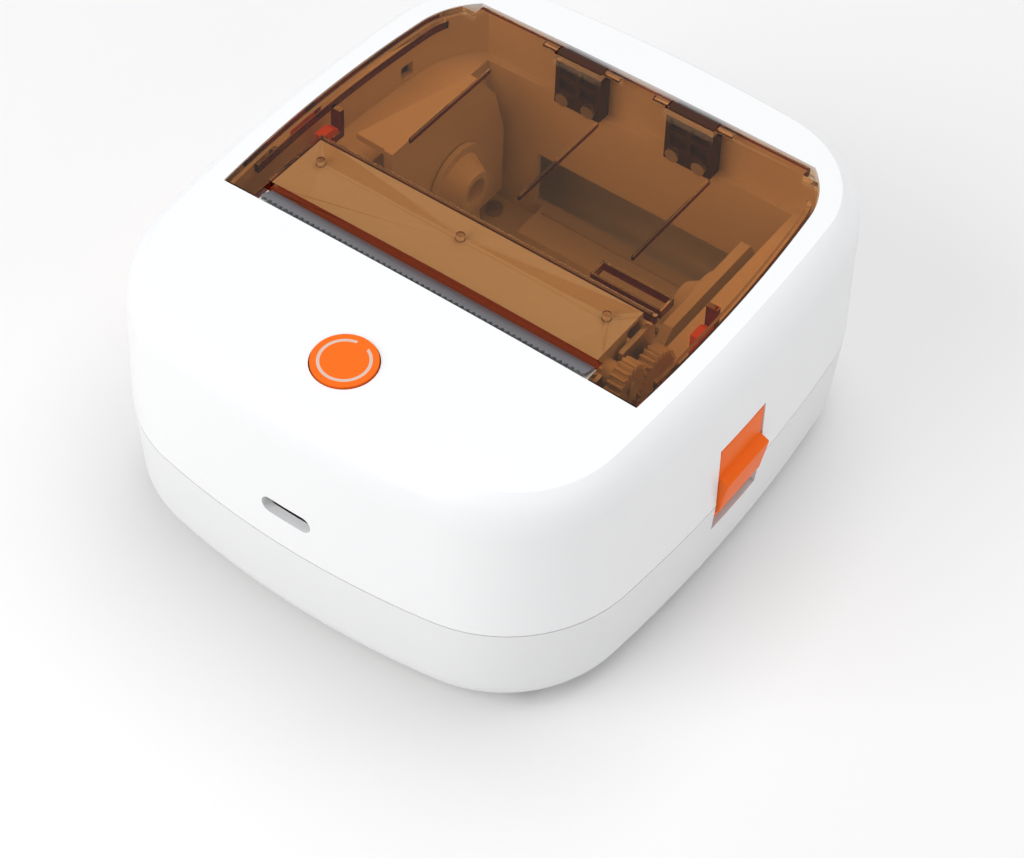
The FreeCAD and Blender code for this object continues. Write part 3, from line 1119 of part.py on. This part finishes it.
def make_leads():
    radius = size("lead_radius")
    motor = (size("motor_left") - 1.5, size("motor_y") - 4, size("motor_z") + 1)
    socket = (21.0, size("board_back"), size("board_low") + size("board_thick") + 1.5)
    riser = (socket[0], -33.6)
    lead("motor_lead", [motor, (12, motor[1], motor[2]), (12, -26, 28), (12, riser[1], 33), (*riser, 36),
                        (*riser, socket[2]), socket], radius)
    cell = (size("cell_half"), -56.0, 15.5)
    lead("battery_lead", [cell, (37.2, cell[1], cell[2]), (37.2, -54, 25), (37.2, -51, 30),
                          (37.2, -51, size("board_low"))], radius)
    path = [(-25.85, 49.0), (-26.3, 45.0), (-28.6, 42.8), (-33.0, 42.2), (-37.6, 40.2), (-41.0, 38.65)]
    thick = size("ribbon_thick")
    points = path + [(y - thick * 0.6, z + thick) for y, z in reversed(path)]
    node("head_ribbon", padded("ribbon_body", "YZ_Plane", polygon(points),
                               ("ribbon_left", "ribbon_right")))


def check_and_write():
    DOC.recompute()
    for thing in DOC.Objects:
        if "Invalid" in thing.State or "Error" in thing.State:
            raise RuntimeError(f"{thing.Name} did not rebuild: {thing.State}")
    os.makedirs("parts", exist_ok=True)
    for label, thing in NODES.items():
        shape = thing.Shape
        if shape.isNull() or not shape.isValid() or not shape.Solids:
            raise RuntimeError(f"{label} is not a valid solid")
        shape.exportStep(os.path.join("parts", label + ".step"))
        box = shape.BoundBox
        ends = [f"{low:.1f} {high:.1f}" for low, high in
                ((box.XMin, box.XMax), (box.YMin, box.YMax), (box.ZMin, box.ZMax))]
        print(f"{label}: {len(shape.Solids)} solid, {shape.Volume:.1f} mm3, x {ends[0]} y {ends[1]} z {ends[2]}")


make_upper_shell()
make_base_shell()
make_screws()
make_lid()
make_platen()
small_idler, large_idler = make_gears()
make_motor()
make_frame(small_idler, large_idler)
make_head()
make_tear_bar()
make_paper_path()
make_hinges()
make_bay()
make_guides()
make_latches()
make_levers()
make_button()
make_board()
make_battery()
make_leads()
check_and_write()
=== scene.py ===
import math

import bpy
from mathutils import Matrix, Vector


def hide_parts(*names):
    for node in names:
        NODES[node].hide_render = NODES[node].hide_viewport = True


# A thermal label printer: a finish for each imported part, and finer pieces that stand for the two
# release levers and the tear strip. Metres, in the parts' own frame: +X right, +Y back, +Z up.

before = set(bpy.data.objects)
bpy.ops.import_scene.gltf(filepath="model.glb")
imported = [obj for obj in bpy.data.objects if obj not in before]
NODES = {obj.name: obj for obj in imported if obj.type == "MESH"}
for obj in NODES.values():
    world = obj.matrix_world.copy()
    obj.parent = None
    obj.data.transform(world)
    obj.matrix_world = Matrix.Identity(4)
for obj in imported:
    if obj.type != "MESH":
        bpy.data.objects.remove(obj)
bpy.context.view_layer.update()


# ---- shared surface effects

def new_group(name, inputs, outputs):
    """An empty shader group with its sockets; returns it with its two end nodes."""
    group = bpy.data.node_groups.new(name, "ShaderNodeTree")
    for label, kind, value in inputs:
        socket = group.interface.new_socket(label, in_out="INPUT", socket_type="NodeSocket" + kind)
        if value is not None:
            socket.default_value = value
    for label, kind in outputs:
        group.interface.new_socket(label, in_out="OUTPUT", socket_type="NodeSocket" + kind)
    return group, group.nodes.new("NodeGroupInput"), group.nodes.new("NodeGroupOutput")


def moulded_group():
    """Moulded or painted surface: a faint change of tone, of gloss and of height."""
    group, given, out = new_group(
        "moulded_surface",
        [("Color", "Color", (0.8, 0.8, 0.8, 1)), ("Roughness", "Float", 0.4), ("Grain", "Float", 900.0),
         ("Depth", "Float", 0.05), ("Tone", "Float", 0.03)],
        [("Color", "Color"), ("Roughness", "Float"), ("Normal", "Vector")])
    nodes, link = group.nodes, group.links.new
    place = nodes.new("ShaderNodeTexCoord")
    broad = nodes.new("ShaderNodeTexNoise")
    broad.inputs["Scale"].default_value = 35
    fine = nodes.new("ShaderNodeTexNoise")
    link(place.outputs["Object"], broad.inputs["Vector"])
    link(place.outputs["Object"], fine.inputs["Vector"])
    link(given.outputs["Grain"], fine.inputs["Scale"])
    tone = nodes.new("ShaderNodeMath")
    tone.operation = "MULTIPLY_ADD"
    tone.inputs[2].default_value = 1.0
    centred = nodes.new("ShaderNodeMath")
    centred.operation = "SUBTRACT"
    centred.inputs[1].default_value = 0.5
    link(broad.outputs["Fac"], centred.inputs[0])
    link(centred.outputs[0], tone.inputs[0])
    link(given.outputs["Tone"], tone.inputs[1])
    tinted = nodes.new("ShaderNodeVectorMath")
    tinted.operation = "SCALE"
    link(given.outputs["Color"], tinted.inputs[0])
    link(tone.outputs[0], tinted.inputs["Scale"])
    gloss = nodes.new("ShaderNodeMath")
    gloss.operation = "MULTIPLY_ADD"
    gloss.inputs[1].default_value = 0.12
    link(centred.outputs[0], gloss.inputs[0])
    link(given.outputs["Roughness"], gloss.inputs[2])
    bump = nodes.new("ShaderNodeBump")
    bump.inputs["Distance"].default_value = 0.0002
    link(fine.outputs["Fac"], bump.inputs["Height"])
    link(given.outputs["Depth"], bump.inputs["Strength"])
    link(tinted.outputs[0], out.inputs["Color"])
    link(gloss.outputs[0], out.inputs["Roughness"])
    link(bump.outputs["Normal"], out.inputs["Normal"])
    return group


def brushed_group():
    """Metal with fine lines along one axis."""
    group, given, out = new_group(
        "brushed_surface",
        [("Color", "Color", (0.6, 0.6, 0.6, 1)), ("Roughness", "Float", 0.3),
         ("Stretch", "Vector", (60, 3000, 3000))],
        [("Color", "Color"), ("Roughness", "Float"), ("Normal", "Vector")])
    nodes, link = group.nodes, group.links.new
    place = nodes.new("ShaderNodeTexCoord")
    spread = nodes.new("ShaderNodeVectorMath")
    spread.operation = "MULTIPLY"
    lines = nodes.new("ShaderNodeTexNoise")
    lines.inputs["Scale"].default_value = 1
    link(place.outputs["Object"], spread.inputs[0])
    link(given.outputs["Stretch"], spread.inputs[1])
    link(spread.outputs[0], lines.inputs["Vector"])
    gloss = nodes.new("ShaderNodeMath")
    gloss.operation = "MULTIPLY_ADD"
    gloss.inputs[1].default_value = 0.25
    link(lines.outputs["Fac"], gloss.inputs[0])
    link(given.outputs["Roughness"], gloss.inputs[2])
    bump = nodes.new("ShaderNodeBump")
    bump.inputs["Strength"].default_value = 0.06
    bump.inputs["Distance"].default_value = 0.0001
    link(lines.outputs["Fac"], bump.inputs["Height"])
    link(given.outputs["Color"], out.inputs["Color"])
    link(gloss.outputs[0], out.inputs["Roughness"])
    link(bump.outputs["Normal"], out.inputs["Normal"])
    return group


def edge_mask_group():
    """1 on the upright faces of a flat sheet and 0 on its broad faces, however the sheet is turned."""
    group, given, out = new_group("sheet_edges", [("Steep", "Float", 0.55)], [("Mask", "Float")])
    nodes, link = group.nodes, group.links.new
    place = nodes.new("ShaderNodeTexCoord")
    parts = nodes.new("ShaderNodeSeparateXYZ")
    link(place.outputs["Normal"], parts.inputs[0])
    flat = nodes.new("ShaderNodeMath")
    flat.operation = "ABSOLUTE"
    link(parts.outputs["Z"], flat.inputs[0])
    upright = nodes.new("ShaderNodeMath")
    upright.operation = "LESS_THAN"
    link(flat.outputs[0], upright.inputs[0])
    link(given.outputs["Steep"], upright.inputs[1])
    link(upright.outputs[0], out.inputs["Mask"])
    return group


MOULDED = moulded_group()
BRUSHED = brushed_group()
SHEET_EDGES = edge_mask_group()


def start_material(name):
    material = bpy.data.materials.new(name)
    material.use_nodes = True
    return material, material.node_tree.nodes, material.node_tree.links.new


def moulded(name, color, rough, coat=0.0, grain=900.0, depth=0.05, tone=0.03, sheen=0.5):
    """Plastic, rubber, paint or ceramic."""
    material, nodes, link = start_material(name)
    shader = nodes["Principled BSDF"]
    surface = nodes.new("ShaderNodeGroup")
    surface.node_tree = MOULDED
    for label, value in (("Color", (*color, 1)), ("Roughness", rough), ("Grain", grain),
                         ("Depth", depth), ("Tone", tone)):
        surface.inputs[label].default_value = value
    link(surface.outputs["Color"], shader.inputs["Base Color"])
    link(surface.outputs["Roughness"], shader.inputs["Roughness"])
    link(surface.outputs["Normal"], shader.inputs["Normal"])
    shader.inputs["Coat Weight"].default_value = coat
    shader.inputs["Coat Roughness"].default_value = 0.12
    shader.inputs["Specular IOR Level"].default_value = sheen
    return material


def metal(name, color, rough, along="X"):
    material, nodes, link = start_material(name)
    shader = nodes["Principled BSDF"]
    surface = nodes.new("ShaderNodeGroup")
    surface.node_tree = BRUSHED
    stretch = [3000.0, 3000.0, 3000.0]
    stretch["XYZ".index(along)] = 60.0
    for label, value in (("Color", (*color, 1)), ("Roughness", rough), ("Stretch", stretch)):
        surface.inputs[label].default_value = value
    link(surface.outputs["Color"], shader.inputs["Base Color"])
    link(surface.outputs["Roughness"], shader.inputs["Roughness"])
    link(surface.outputs["Normal"], shader.inputs["Normal"])
    shader.inputs["Metallic"].default_value = 1.0
    return material


def amber_clear(name, through, painted_edge_depth):
    """Clear tinted plastic with dark red painted on its upright faces, standing in for the deeper tint
    light takes through the sheet edge-on; soft light passes it, tinted.
    """
    material, nodes, link = start_material(name)
    shader = nodes["Principled BSDF"]
    edges = nodes.new("ShaderNodeGroup")
    edges.node_tree = SHEET_EDGES
    edges.inputs["Steep"].default_value = 0.55
    tint = nodes.new("ShaderNodeMix")
    tint.data_type = "RGBA"
    tint.inputs[6].default_value = (*through, 1)
    # painted tint depth: this dark red on the upright faces stands in for light passing lengthwise
    # through the sheet
    tint.inputs[7].default_value = (*painted_edge_depth, 1)
    link(edges.outputs["Mask"], tint.inputs[0])
    link(tint.outputs[2], shader.inputs["Base Color"])
    shader.inputs["Roughness"].default_value = 0.03
    shader.inputs["IOR"].default_value = 1.35
    shader.inputs["Transmission Weight"].default_value = 1.0
    shader.inputs["Metallic"].default_value = 0.0
    clear = nodes.new("ShaderNodeBsdfTransparent")
    clear.inputs["Color"].default_value = (*[math.sqrt(c) for c in through], 1)
    rays = nodes.new("ShaderNodeLightPath")
    either = nodes.new("ShaderNodeMath")
    either.operation = "MAXIMUM"
    link(rays.outputs["Is Shadow Ray"], either.inputs[0])
    link(rays.outputs["Is Diffuse Ray"], either.inputs[1])
    mix = nodes.new("ShaderNodeMixShader")
    link(either.outputs[0], mix.inputs["Fac"])
    link(shader.outputs["BSDF"], mix.inputs[1])
    link(clear.outputs["BSDF"], mix.inputs[2])
    link(mix.outputs["Shader"], nodes["Material Output"].inputs["Surface"])
    return material


WHITE_CASE = moulded("white_case_plastic", (0.87, 0.87, 0.87), 0.34, coat=0.12, depth=0.02, tone=0.01)
WHITE_BASE = moulded("white_base_plastic", (0.80, 0.80, 0.80), 0.42, depth=0.03, tone=0.01)
PALE_BAY = moulded("pale_bay_plastic", (0.80, 0.77, 0.72), 0.45, depth=0.04)
GUIDE_WHITE = moulded("guide_plastic", (0.74, 0.72, 0.68), 0.4)
ORANGE = moulded("orange_plastic", (0.92, 0.150, 0.008), 0.46, depth=0.04, sheen=0.2)
MILKY = moulded("milky_light_guide", (0.66, 0.50, 0.42), 0.3)
HINGE_DARK = moulded("dark_hinge_plastic", (0.055, 0.022, 0.013), 0.62, sheen=0.2)
BLACK = moulded("black_plastic", (0.018, 0.017, 0.017), 0.6)
PAINTED_STEEL = moulded("painted_steel", (0.66, 0.64, 0.60), 0.38, depth=0.03)
FOOT_RUBBER = moulded("foot_rubber", (0.03, 0.03, 0.032), 0.8, depth=0.2)
ROLLER_RUBBER = moulded("roller_rubber", (0.03, 0.03, 0.03), 0.62, depth=0.1)
NATURAL_GEAR = moulded("natural_gear_plastic", (0.66, 0.60, 0.48), 0.4)
CERAMIC = moulded("head_ceramic", (0.55, 0.53, 0.48), 0.22, coat=0.3)
BOARD = moulded("board_mask", (0.012, 0.09, 0.035), 0.35, coat=0.3)
CHIP = moulded("chip_black", (0.02, 0.02, 0.02), 0.5)
CELL = moulded("cell_wrap", (0.02, 0.12, 0.36), 0.3, coat=0.4)
WIRE = moulded("wire_red", (0.42, 0.02, 0.015), 0.45)
FILM = moulded("ribbon_film", (0.62, 0.56, 0.42), 0.3, coat=0.3)
STEEL = metal("sheet_steel", (0.58, 0.58, 0.60), 0.26)
SPRING = metal("spring_wire", (0.5, 0.5, 0.52), 0.3, "Z")
ALUMINIUM = metal("milled_aluminium", (0.72, 0.72, 0.74), 0.3)
BLADE = metal("blade_steel", (0.44, 0.44, 0.46), 0.45)
# second colour: painted tint depth on the lid's upright faces, standing in for light passing lengthwise
# through the amber
AMBER = amber_clear("amber_window_plastic", (0.68, 0.42, 0.215), (0.20, 0.012, 0.006))

FINISHES = {
    WHITE_CASE: ["upper_shell"],
    WHITE_BASE: ["base_shell"],
    FOOT_RUBBER: ["rubber_feet"],
    AMBER: ["lid_window"],
    PALE_BAY: ["roll_bay", "paper_chute"],
    GUIDE_WHITE: ["roll_guide_left", "roll_guide_right", "roll_hub_left", "roll_hub_right"],
    ORANGE: ["power_button", "release_lever_left", "release_lever_right", "latch_hook_left",
             "latch_hook_right"],
    MILKY: ["button_light_ring"],
    HINGE_DARK: ["hinge_bracket_left", "hinge_bracket_right"],
    BLACK: ["gap_sensor", "tactile_switch", "battery_tray"],
    PAINTED_STEEL: ["platen_carrier"],
    ROLLER_RUBBER: ["platen_rubber"],
    NATURAL_GEAR: ["platen_gear", "idler_gear_small", "idler_gear_large", "motor_pinion", "guide_pinion",
                   "platen_bushings"],
    CERAMIC: ["print_head"],
    ALUMINIUM: ["head_heatsink"],
    BOARD: ["main_board", "button_board"],
    CHIP: ["board_components"],
    CELL: ["battery_cells"],
    WIRE: ["motor_lead", "battery_lead"],
    FILM: ["head_ribbon"],
    BLADE: ["tear_bar"],
    SPRING: ["head_springs", "lever_spring_left", "lever_spring_right"],
    STEEL: ["mechanism_frame", "platen_shaft", "hinge_pins", "gear_axles", "head_pivot_pin", "latch_pins",
            "motor_shaft", "charging_socket", "stepper_motor", "case_screws", "chassis_screws",
            "carrier_screws", "hinge_screws"],
}


def paint(thing, material):
    thing.data.materials.clear()
    thing.data.materials.append(material)


for material, names in FINISHES.items():
    for name in names:
        paint(NODES[name], material)


# ---- finer pieces

LEVER_WEB, LEVER_FACE = 0.0640, 0.0665
LEVER_LOW, LEVER_HIGH = 0.0236, 0.0460
LEVER_FRONT, LEVER_BACK = -0.009, 0.008
LIP_ROOT, LIP_TIP, LIP_FOOT = 0.0655, 0.0690, 0.0675
LIP_TOP, LIP_TIP_HEIGHT, LIP_FOOT_HEIGHT, LIP_LOW = 0.0376, 0.0360, 0.0262, 0.0246
LEVER_EDGE = 0.0004

TEETH_ROOT, TEETH_MIDDLE = -0.0260, -0.0267
TEETH_RISE, TIPS_EXTRA = 0.0014, 0.22


def only(*things):
    """Select these things and nothing else; the last one is active."""
    bpy.ops.object.select_all(action="DESELECT")
    for thing in things:
        thing.select_set(True)
    bpy.context.view_layer.objects.active = things[-1]


def copied(node_name, piece_name):
    """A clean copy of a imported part's mesh, with its flat faces whole again."""
    piece = NODES[node_name].copy()
    piece.data = NODES[node_name].data.copy()
    piece.name = piece_name
    bpy.context.scene.collection.objects.link(piece)
    only(piece)
    bpy.ops.object.mode_set(mode="EDIT")
    bpy.ops.mesh.select_all(action="SELECT")
    bpy.ops.mesh.remove_doubles(threshold=0.000002)
    bpy.ops.mesh.dissolve_limited(angle_limit=math.radians(1))
    bpy.ops.object.mode_set(mode="OBJECT")
    return piece


def slide_corners(piece, picked, shift):
    """Move the corners of a piece that a rule picks."""
    only(piece)
    bpy.ops.object.mode_set(mode="EDIT")
    bpy.ops.mesh.select_mode(type="VERT")
    bpy.ops.mesh.select_all(action="DESELECT")
    bpy.ops.object.mode_set(mode="OBJECT")
    for corner in piece.data.vertices:
        corner.select = picked(corner.co)
    bpy.ops.object.mode_set(mode="EDIT")
    bpy.ops.transform.translate(value=shift)
    bpy.ops.object.mode_set(mode="OBJECT")


def round_edges(piece, radius):
    only(piece)
    bevel = piece.modifiers.new("edge_round", "BEVEL")
    bevel.width = radius
    bevel.segments = 3
    bevel.limit_method = "ANGLE"
    bevel.angle_limit = math.radians(30)
    bpy.ops.object.modifier_apply(modifier=bevel.name)
    bpy.ops.object.shade_smooth_by_angle(angle=math.radians(35))


def slab(name, side, inner, outer, low, high):
    """A block as wide as the lever, between two places across and two heights."""
    bpy.ops.object.select_all(action="DESELECT")
    bpy.ops.mesh.primitive_cube_add(
        size=1, location=(side * (inner + outer) / 2, (LEVER_FRONT + LEVER_BACK) / 2, (low + high) / 2),
        scale=(outer - inner, LEVER_BACK - LEVER_FRONT, high - low))
    block = bpy.context.object
    block.name = name
    bpy.ops.object.transform_apply(location=True, rotation=True, scale=True)
    paint(block, ORANGE)
    return block


def finger_lip(name, side):
    """The lip that a finger presses: its top slopes out and its front slopes back in."""
    lip = slab(name, side, LIP_ROOT, LIP_TIP, LIP_LOW, LIP_TOP)
    across, upward = (LIP_ROOT + LIP_TIP) / 2, (LIP_LOW + LIP_TOP) / 2
    slide_corners(lip, lambda co: abs(co.x) > across and co.z > upward, (0, 0, LIP_TIP_HEIGHT - LIP_TOP))
    slide_corners(lip, lambda co: abs(co.x) > across and co.z < upward,
                  (side * (LIP_FOOT - LIP_TIP), 0, LIP_FOOT_HEIGHT - LIP_LOW))
    return lip


def make_lever(side_name, side):
    """A release lever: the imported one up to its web, then a face plate and a lip with rounded edges."""
    lever = copied("release_lever_" + side_name, "lever_grip_" + side_name)
    bpy.ops.object.mode_set(mode="EDIT")
    bpy.ops.mesh.select_all(action="SELECT")
    bpy.ops.mesh.bisect(plane_co=(side * LEVER_WEB, 0, 0), plane_no=(side, 0, 0),
                        use_fill=True, clear_outer=True)
    bpy.ops.object.mode_set(mode="OBJECT")
    plate = slab("plate_" + side_name, side, LEVER_WEB, LEVER_FACE, LEVER_LOW, LEVER_HIGH)
    lip = finger_lip("lip_" + side_name, side)
    only(plate, lip, lever)
    bpy.ops.object.join()
    round_edges(lever, LEVER_EDGE)
    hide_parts("release_lever_" + side_name)
    lever.select_set(False)


def make_tear_strip():
    """The tear strip, tilted so that its teeth stand up beside the deck."""
    strip = copied("tear_bar", "tear_strip")
    slide_corners(strip, lambda co: co.y < TEETH_ROOT, (0, 0, TEETH_RISE))
    slide_corners(strip, lambda co: co.y < TEETH_MIDDLE, (0, 0, TEETH_RISE * TIPS_EXTRA))
    paint(strip, BLADE)
    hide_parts("tear_bar")
    strip.select_set(False)


make_lever("right", 1)
make_lever("left", -1)
make_tear_strip()


# ---- stage, light and camera

def build_stage():
    bpy.ops.mesh.primitive_plane_add(size=6, location=(0, 0, -0.0003))
    floor = bpy.context.object
    floor.name = "floor"
    paint(floor, moulded("floor_paper", (0.86, 0.85, 0.84), 0.75, depth=0.0, tone=0.0, sheen=0.2))
    world = bpy.data.worlds.new("studio")
    world.use_nodes = True
    world.node_tree.nodes["Background"].inputs["Color"].default_value = (0.95, 0.97, 1.0, 1)
    world.node_tree.nodes["Background"].inputs["Strength"].default_value = 0.52
    bpy.context.scene.world = world


def soft_light(name, place, aim, size, power, mirrored=True):
    lamp = bpy.data.lights.new(name, "AREA")
    lamp.shape = "RECTANGLE"
    lamp.size, lamp.size_y = size
    lamp.energy = power
    holder = bpy.data.objects.new(name, lamp)
    bpy.context.scene.collection.objects.link(holder)
    holder.visible_glossy = mirrored
    holder.location = place
    holder.rotation_euler = (Vector(aim) - Vector(place)).to_track_quat("-Z", "Y").to_euler()


def build_camera():
    turn, rise, roll, distance = math.radians(34.78), math.radians(46.37), math.radians(2.07), 0.60084
    back = Vector((math.sin(turn) * math.cos(rise), -math.cos(turn) * math.cos(rise), math.sin(rise)))
    right = Vector((math.cos(turn), math.sin(turn), 0))
    up = back.cross(right)
    rolled_right = right * math.cos(roll) + up * math.sin(roll)
    rolled_up = up * math.cos(roll) - right * math.sin(roll)
    place = Vector((0, 0, 0.04)) + back * distance
    data = bpy.data.cameras.new("camera")
    data.lens, data.sensor_width = 93.23, 36
    data.shift_x, data.shift_y = 0.0164, -0.1168
    data.clip_start = 0.01
    camera = bpy.data.objects.new("camera", data)
    bpy.context.scene.collection.objects.link(camera)
    camera.matrix_world = Matrix((
        (rolled_right.x, rolled_up.x, back.x, place.x),
        (rolled_right.y, rolled_up.y, back.y, place.y),
        (rolled_right.z, rolled_up.z, back.z, place.z),
        (0, 0, 0, 1)))
    bpy.context.scene.camera = camera


bpy.context.scene.view_settings.view_transform = "Standard"
build_stage()
soft_light("key", (-0.45, -0.9, 0.7), (0, 0, 0.03), (0.9, 0.9), 7.4)
soft_light("top", (0.05, 0.35, 1.1), (0, 0, 0.03), (1.0, 0.7), 5.8, mirrored=False)
soft_light("side", (0.95, -0.25, 0.5), (0, 0, 0.03), (0.6, 0.6), 1.0, mirrored=False)
build_camera()
